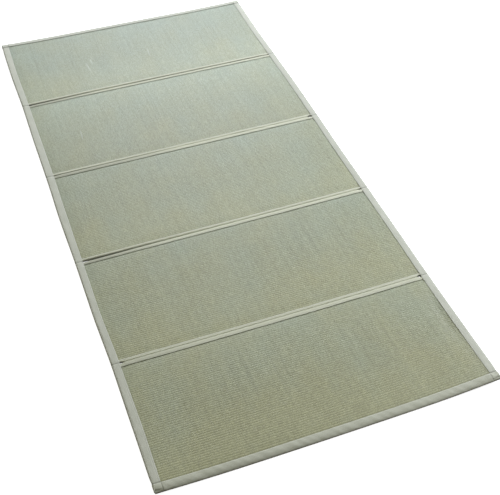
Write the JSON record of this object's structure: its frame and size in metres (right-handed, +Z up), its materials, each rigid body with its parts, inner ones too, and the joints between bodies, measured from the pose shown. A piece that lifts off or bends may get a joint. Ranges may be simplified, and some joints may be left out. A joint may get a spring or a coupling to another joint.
{
  "type": "tatami mat",
  "caption": "Folding tatami mat laid open flat: woven rush panels in a row, bound with cloth tape along the folds, sides and ends.",
  "frame": {"origin": "middle of the mat's outline, on the floor that it lies on", "axes": "+Y along the mat's length towards its far end, +X across it to the right, +Z up"},
  "size_m": [1.0055, 2.1, 0.0177],
  "materials": {
    "rush": "woven rush, satin",
    "binding": "plain cloth tape, matt"
  },
  "bodies": {
    "root": {"panel_1": "rush", "panel_2": "rush", "panel_3": "rush", "panel_4": "rush", "panel_5": "rush", "fold_tape_1_far": "binding", "fold_tape_1_near": "binding", "fold_tape_2_far": "binding", "fold_tape_2_near": "binding", "fold_tape_3_far": "binding", "fold_tape_3_near": "binding", "fold_tape_4_far": "binding", "fold_tape_4_near": "binding", "side_tape_left": "binding", "side_tape_right": "binding", "end_tape_far": "binding", "end_tape_near": "binding"}
  },
  "joints": []
}
